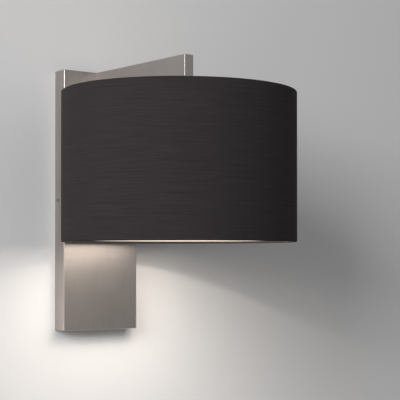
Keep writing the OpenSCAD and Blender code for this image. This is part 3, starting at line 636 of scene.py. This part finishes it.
def make_ring_nut():
    """The ring nut that clamps the shade: a round flange, scalloped grips and an inner thread."""
    low, high = ring_low.z, ring_high.z
    flange_r = (ring_high.x - ring_low.x) / 2
    body_r, flange_t, root, bore = 24 * MM, 2 * MM, 20.5 * MM, 19.8 * MM
    shoulder = high - flange_t
    grips, grip_r, skin_r = 16, 1.6 * MM, 22.5 * MM
    line = [(root, low, 0.5 * MM), (body_r, low, 0.7 * MM), (body_r, shoulder),
        (flange_r, shoulder, 0.6 * MM), (flange_r, high, 0.6 * MM), (root, high, 0.4 * MM)]
    bm = turned(line, grips * 14)
    pitch = math.tau / grips
    for v in bm.verts:
        r = v.co.xy.length
        off = math.atan2(v.co.y, v.co.x) % pitch
        along = min(off, pitch - off) * body_r
        if r > skin_r and v.co.z < shoulder - MERGE and along < grip_r:
            hollow = body_r + grip_r / 2 - math.sqrt(grip_r ** 2 - along ** 2)
            v.co.xy *= min(r, hollow) / r
    tooth_h, crest, sunk = 1.8 * MM, 0.3 * MM, 0.2 * MM
    tooth = [(root + sunk, 0), (root + sunk, tooth_h), (root, tooth_h),
        (bore, (tooth_h + crest) / 2), (bore, (tooth_h - crest) / 2), (root, 0)]
    thread_low, thread_high = low + 0.6 * MM, high - 2.8 * MM
    add_thread(bm, tooth, RING_PITCH, thread_low, thread_high)
    make_piece("ring_nut", on_lamp_axis(bm), "ring_nut", "black_plastic", ["shade_ring"], sharp=40)


# Bulb

def globe_line(skin):
    """The bulb's outline as (radius, height), skin metres inside its outer face: a straight neck,
    a waist that curves inwards, and the globe down to its pole."""
    centre = globe_centre.z
    neck_r, waist_r, neck_wall = 12.5 * MM, 50 * MM, 0.9 * MM
    waist_angle = math.acos((neck_r + waist_r) / (globe_radius + waist_r))
    waist_z = centre + (globe_radius + waist_r) * math.sin(waist_angle)
    throat_r = neck_r - neck_wall - skin
    inner_waist, inner_globe = waist_r + skin, globe_radius - skin
    line = [(throat_r, globe_high.z), (throat_r, waist_z + 2 * MM)]
    line += [(neck_r + waist_r - inner_waist * math.cos(a), waist_z - inner_waist * math.sin(a))
        for a in (waist_angle * i / 16 for i in range(1, 17))]
    line += [(max(0.0, inner_globe * math.cos(a)), centre + inner_globe * math.sin(a))
        for a in (waist_angle - (waist_angle + math.pi / 2) * i / 40 for i in range(1, 41))]
    return line


def make_bulb_globe():
    """The opal globe, which casts no shadow so that the light inside it gets out."""
    glass_t = 0.9 * MM
    bm = turned(globe_line(0) + globe_line(glass_t)[::-1])
    globe = make_piece("bulb_globe", on_lamp_axis(bm), "bulb", "opal_glass", ["bulb_glass"],
        sharp=50)
    globe.visible_shadow = False


def make_bulb_cap():
    """The bulb's screw cap: a plain skirt round the glass, a rolled thread and a closed crown."""
    low, high = bulb_cap_low.z, bulb_cap_high.z
    outer = (bulb_cap_high.x - bulb_cap_low.x) / 2
    skirt, crown, sheet, mouth_r = 5.5 * MM, 5 * MM, 0.3 * MM, 11 * MM
    skirt_r, bead_r, bead_z = outer - 0.5 * MM, outer - 0.1 * MM, low + skirt
    crown_r, crown_z = outer - sheet, high - crown
    bend_r, bend_z = outer - 0.6 * MM, high - 2.5 * MM
    bm = rolled_thread(outer, 1.0 * MM, LAMP_PITCH, bead_z, crown_z, -sheet)
    add_turned(bm, [(skirt_r, low), (skirt_r, bead_z - 1 * MM), (bead_r, bead_z),
        (bead_r - sheet, bead_z), (skirt_r - sheet, bead_z - 1 * MM), (skirt_r - sheet, low)])
    add_turned(bm, [(crown_r, crown_z), (bend_r, bend_z, 0.8 * MM), (mouth_r, high),
        (mouth_r - sheet, high - sheet), (bend_r - sheet, bend_z - 0.2 * MM),
        (crown_r - sheet, crown_z)])
    make_piece("bulb_screw_cap", on_lamp_axis(bm), "bulb", "bulb_cap", ["bulb_cap"], sharp=45)


# Shade

CLOTH_T = 0.3 * MM
CLOTH_LAP = 12 * MM
FILM_T = 0.5 * MM
FILM_LAP = 8 * MM
# The seams lie on the wall side, the film's a little further round than the cloth's
CLOTH_SEAM = math.pi / 2
FILM_SEAM = CLOTH_SEAM + 0.2
RIM_ROUND = 1.2 * MM
TUCK_TURN = math.radians(160)


def rim_line(hem_low, hem_high, edge, way):
    """The cloth's section from the wall of the drum round a rim's wire and in behind it; way is 1
    where the wire lies above the edge."""
    hem_r = (hem_high.z - hem_low.z) / 2
    film_in, gap = (liner_high.x - liner_low.x) / 2 - FILM_T, 0.1 * MM
    wire_x = film_in - gap - hem_r
    line = [(shade_radius - RIM_ROUND * (1 - math.cos(a)), edge + way * RIM_ROUND * (1 - math.sin(a)))
        for a in (math.pi / 2 * i / 6 for i in range(7))]
    line += [(wire_x - hem_r * math.sin(a), edge + way * hem_r * (1 - math.cos(a)))
        for a in (TUCK_TURN * i / 14 for i in range(15))]
    return line


def bend_sheet(section, radius, start, lap, lap_rise, steps):
    """A flat grid with UVs in metres, bent round the Z axis along a section of (radius, height)
    points; its last end climbs by lap_rise over its first. Returns it with its width and length."""
    bm = bmesh.new()
    uv = bm.loops.layers.uv.new("cloth")
    rows = len(section) - 1
    bmesh.ops.create_grid(bm, x_segments=steps, y_segments=rows, size=0.5)
    lengths = [0.0]
    for a, b in zip(section, section[1:]):
        lengths.append(lengths[-1] + (Vector(b) - Vector(a)).length)
    sweep = math.tau + lap / radius
    climb = 2 * lap / radius
    for vert in bm.verts:
        column = round((vert.co.x + 0.5) * steps)
        row = round((vert.co.y + 0.5) * rows)
        angle = sweep * column / steps
        rise = min(1.0, max(0.0, (angle - (math.tau - climb)) / climb))
        r, z = section[row]
        r += lap_rise * rise * rise * (3 - 2 * rise)
        for loop in vert.link_loops:
            loop[uv].uv = (angle * radius, lengths[row])
        vert.co = (r * math.cos(start + angle), r * math.sin(start + angle), z)
    bmesh.ops.recalc_face_normals(bm, faces=bm.faces)
    return bm, sweep * radius, lengths[-1]


def thicken(piece, thickness):
    """Gives a sheet its thickness, inwards."""
    solid = piece.modifiers.new("Thickness", "SOLIDIFY")
    solid.thickness = thickness
    solid.offset = -1


def make_shade_cloth():
    """One strip of cloth round the drum, lapped on the wall side, rolled over both rim wires."""
    top = rim_line(top_hem_low, top_hem_high, shade_high.z, -1)
    bottom = rim_line(bottom_hem_low, bottom_hem_high, shade_low.z, 1)
    lap_rise, steps = 0.4 * MM, 288
    bm, width, length = bend_sheet(top[::-1] + bottom, shade_radius, CLOTH_SEAM, CLOTH_LAP, lap_rise,
        steps)
    piece = make_piece("shade_cloth", on_lamp_axis(bm), "shade", "shade_fabric",
        ["shade_fabric", "shade_top_hem", "shade_bottom_hem"], sharp=60, sheet=True)
    thicken(piece, CLOTH_T)


def make_shade_lining():
    """The white film inside the cloth, lapped on the wall side, between the two hems."""
    radius = (liner_high.x - liner_low.x) / 2
    section = [(radius, liner_high.z + (liner_low.z - liner_high.z) * i / 8) for i in range(9)]
    lap_rise, steps = -0.3 * MM, 192
    bm, width, length = bend_sheet(section, radius, FILM_SEAM, FILM_LAP, lap_rise, steps)
    piece = make_piece("shade_lining", on_lamp_axis(bm), "shade", "shade_liner", ["shade_liner"],
        sharp=60, sheet=True)
    thicken(piece, FILM_T)


def make_shade_frame():
    """The shade's carrier: centre ring, three arms and top wire, welded and powder coated."""
    rod_r, wire_r, bend = 1.5 * MM, 1.25 * MM, 5 * MM
    ring_in, ring_out, ring_t = 20.6 * MM, 31 * MM, 1.5 * MM
    rim_r = (spider_high.x - spider_low.x) / 2 - wire_r
    rim_z = spider_high.z - wire_r
    low, high = ring_high.z, ring_high.z + ring_t
    arms, first, weld_l, flat_l, sunk = 3, math.radians(30), 6 * MM, 2.5 * MM, 0.6 * MM
    ring_weld, rim_weld = (4 * MM, 2.6 * MM, 0.9 * MM), (1.9 * MM, 2.6 * MM, 1.5 * MM)
    weld_in, weld_down = 0.4 * MM, 0.2 * MM
    bm = turned([(ring_in, low, 0.3 * MM), (ring_out, low, 0.5 * MM), (ring_out, high, 0.5 * MM),
        (ring_in, high, 0.3 * MM)])
    add_turned(bm, [(rim_r + wire_r * math.cos(a), rim_z + wire_r * math.sin(a))
        for a in (math.tau * i / 16 for i in range(16))], 144)
    up = Vector((0, 0, 1))
    rod_level = up * (high + rod_r - sunk)
    for turn in (first + math.tau * i / arms for i in range(arms)):
        way = Vector((math.cos(turn), math.sin(turn), 0))
        path = [way * (ring_out - weld_l) + rod_level, way * (ring_out + flat_l) + rod_level,
            way * rim_r + up * rim_z]
        add_tube(bm, softened(path, bend), rod_r)
        add_ball(bm, way * (ring_out - weld_l / 2) + up * high, ring_weld, turn)
        add_ball(bm, way * (rim_r - weld_in) + up * (rim_z - weld_down), rim_weld, turn)
    make_piece("shade_frame", on_lamp_axis(bm), "shade", "white_enamel", ["shade_spider"], sharp=40)


def dress_cad_nodes():
    """Every CAD node that still shows gets the finish of its own slot."""
    slots = {part["node"]: part["material_slot"] for part in frame["record"]["subparts"]}
    for name, node in frame["nodes"].items():
        if not node.hide_render:
            node.data.materials.clear()
            node.data.materials.append(FINISHES[slots[name]])


# Stage

# The wall stands on the floor, just behind the part's back
WALL_BACK = 0.3 * MM
WALL_HALF = 1.6
WALL_TOP = 1.8
FLOOR_Z = -0.75
FLOOR_HALF = 8.0


def one_sided(name, colour, rough, bounced=None):
    """A plain paint that shows on its front face only and lets rays through from behind; bounced
    is its colour for the light that it throws back on the object."""
    material, tree, skin = finish(name, colour, rough)
    if bounced:
        blend = add(tree, "Mix", {"Factor": add(tree, "LightPath").outputs["Is Diffuse Ray"],
            "A": linear(colour), "B": linear(bounced)}, data_type="RGBA")
        tree.links.new(blend.outputs["Result"], skin.inputs["Base Color"])
    emboss(tree, skin, grain(tree, 4 * MM, detail=3.0), 0.05 * MM, 0.3)
    behind = add(tree, "NewGeometry").outputs["Backfacing"]
    mix = add(tree, "MixShader", {0: behind, 1: skin.outputs[0],
        2: add(tree, "BsdfTransparent").outputs[0]})
    tree.links.new(mix.outputs[0], tree.nodes["Material Output"].inputs["Surface"])
    return material


def make_wall():
    """The wall behind the light, open inside the backplate's outline so that its inside is lit."""
    bm = bmesh.new()
    inset = 2 * PLATE_WALL / 3
    outer = ((-WALL_HALF, FLOOR_Z), (WALL_HALF, WALL_TOP))
    inner = ((plate_low.x + inset, plate_low.z + inset),
        (plate_high.x - inset, plate_high.z - inset))
    edges = []
    for (left, foot), (right, top) in (outer, inner):
        loop = ((left, foot), (right, foot), (right, top), (left, top))
        made = [bm.verts.new((x, WALL_BACK, z)) for x, z in loop]
        edges += [bm.edges.new(pair) for pair in zip(made, made[1:] + made[:1])]
    bmesh.ops.bridge_loops(bm, edges=edges)
    for face in bm.faces:
        face.normal_update()
        if face.normal.y > 0:
            face.normal_flip()
    stage_piece("wall", bm, one_sided("wall_paint", "#e2e2e3", 0.9))


def make_floor():
    """A plain pale floor far below the light."""
    bm = bmesh.new()
    bmesh.ops.create_grid(bm, x_segments=1, y_segments=1, size=FLOOR_HALF,
        matrix=Matrix.Translation((0, 0, FLOOR_Z)))
    stage_piece("floor", bm, one_sided("floor_paint", "#d9d8d6", 0.8, "#7f7e7d"))


def stage_piece(name, bm, material):
    """Makes the bmesh an object in the scene with one material, for the wall or the floor."""
    mesh = bpy.data.meshes.new(name)
    bm.to_mesh(mesh)
    bm.free()
    mesh.materials.append(material)
    piece = bpy.data.objects.new(name, mesh)
    scene.collection.objects.link(piece)


def make_light(name, kind, place, target, power, colour="#ffffff", **settings):
    """A lamp of so many watts at a place, turned to its target."""
    light = bpy.data.lights.new(name, kind)
    light.energy = power
    light.color = linear(colour)[:3]
    for key, value in settings.items():
        setattr(light, key, value)
    lamp = bpy.data.objects.new(name, light)
    lamp.location = place
    lamp.rotation_euler = (Vector(target) - Vector(place)).to_track_quat("-Z", "Y").to_euler()
    scene.collection.objects.link(lamp)
    return lamp


# Soft light from the room, from below and from above eye level
FILL_BELOW = 0.1
FILL_ABOVE = 0.46
# The room as the camera sees it past the wall
ROOM_SEEN = "#bdbdbc"
# The room as metal mirrors it, from straight below at 0 to straight above at 1
ROOM_IN_METAL = ((0.46, "#959493"), (0.58, "#b8b7b6"), (0.8, "#8c8c8c"))


def make_world():
    """Soft even light, seen as a pale room by the camera and in metal and glass."""
    world = bpy.data.worlds.new("room")
    scene.world = world
    world.use_nodes = True
    tree = world.node_tree
    tree.nodes.clear()
    rays = add(tree, "LightPath").outputs
    way = add(tree, "SeparateXYZ", {"Vector": add(tree, "TexCoord").outputs["Generated"]})
    up = way.outputs["Z"]
    fill = add(tree, "MapRange", {"Value": up, "From Min": -0.3, "From Max": 0.3,
        "To Min": FILL_BELOW, "To Max": FILL_ABOVE})
    light = add(tree, "Background", {"Strength": fill.outputs["Result"]})
    height = add(tree, "MapRange", {"Value": up, "From Min": -1.0, "From Max": 1.0})
    ramp = add(tree, "ValToRGB", {"Fac": height.outputs["Result"]})
    ramp.color_ramp.elements.new(0.5)
    for stop, (place, code) in zip(ramp.color_ramp.elements, ROOM_IN_METAL):
        stop.position = place
        stop.color = linear(code)
    room = add(tree, "Background", {"Color": ramp.outputs["Color"]})
    pale = add(tree, "Background", {"Color": linear(ROOM_SEEN)})
    shown = add(tree, "Math", {0: rays["Is Camera Ray"], 1: rays["Is Transmission Ray"]},
        operation="MAXIMUM")
    mirrored = add(tree, "MixShader", {0: rays["Is Glossy Ray"], 1: light.outputs[0],
        2: room.outputs[0]})
    mix = add(tree, "MixShader", {0: shown.outputs[0], 1: mirrored.outputs[0], 2: pale.outputs[0]})
    add(tree, "OutputWorld", {"Surface": mix.outputs[0]})


# Place in metres, watts, and size in metres of the two soft lamps
KEY = ((-2.5, -1.5, 0.85), 74, 1.4)
BEHIND = ((0.9, 1.3, 0.9), 14, 1.0)
BULB_POWER = 0.35
BULB_SPREAD = math.radians(143)
BULB_DROP = 5 * MM
# The bulb gives no light further left than this (-1 is straight left) and this many times its
# power straight to the right, which keeps the lit wall as even as in the photo
BULB_LEFT = -0.8
BULB_RIGHT = 2.25
MOUTH_POWER = 0.58


def make_lights():
    """A soft key from the upper left, the bulb's downward light, the lining's light through the
    shade's mouth, and a lamp behind the wall for the part's back."""
    middle = (cad_box[0] + cad_box[1]) / 2
    down = Vector((0, 0, -1))
    for name, (place, power, size) in (("key", KEY), ("behind", BEHIND)):
        make_light(name, "AREA", place, middle, power, size=size)
    bulb = globe_centre + down * BULB_DROP
    spot = make_light("bulb_light", "SPOT", bulb, bulb + down, BULB_POWER, "#fff6ec",
        spot_size=BULB_SPREAD, spot_blend=0.02, shadow_soft_size=4 * MM)
    spot.visible_camera = False
    spot.data.use_nodes = True
    tree = spot.data.node_tree
    way = add(tree, "SeparateXYZ", {"Vector": add(tree, "TexCoord").outputs["Normal"]})
    balance = add(tree, "MapRange", {"Value": way.outputs["X"], "From Min": BULB_LEFT,
        "From Max": 1.0, "To Min": 0.0, "To Max": BULB_RIGHT})
    tree.links.new(balance.outputs["Result"], tree.nodes["Emission"].inputs["Strength"])
    mouth = Vector((lamp_axis.x, lamp_axis.y, shade_low.z + 1 * MM))
    soft = make_light("shade_glow", "AREA", mouth, mouth + down, MOUTH_POWER, "#fff4e8",
        shape="DISK", size=2 * (shade_radius - 3 * MM))
    soft.visible_camera = False


def make_camera():
    """The photograph's point of view."""
    data = bpy.data.cameras.new("camera")
    data.sensor_width = 36
    data.lens = CAMERA_LENS
    data.shift_y = CAMERA_SHIFT_UP
    data.clip_start = 0.01
    camera = bpy.data.objects.new("camera", data)
    ahead = Vector((math.sin(CAMERA_YAW) * math.cos(CAMERA_TILT_UP),
        math.cos(CAMERA_YAW) * math.cos(CAMERA_TILT_UP), math.sin(CAMERA_TILT_UP)))
    camera.location = CAMERA_PLACE
    camera.rotation_euler = ahead.to_track_quat("-Z", "Y").to_euler()
    scene.collection.objects.link(camera)
    scene.camera = camera


make_camera()
make_backplate()
make_arm()
make_holder_cap()
make_holder_skirt()
make_screw_shell()
make_ring_nut()
make_bulb_globe()
make_bulb_cap()
make_shade_cloth()
make_shade_lining()
make_shade_frame()
dress_cad_nodes()
make_wall()
make_floor()
make_world()
make_lights()
scene.view_settings.view_transform = "Standard"
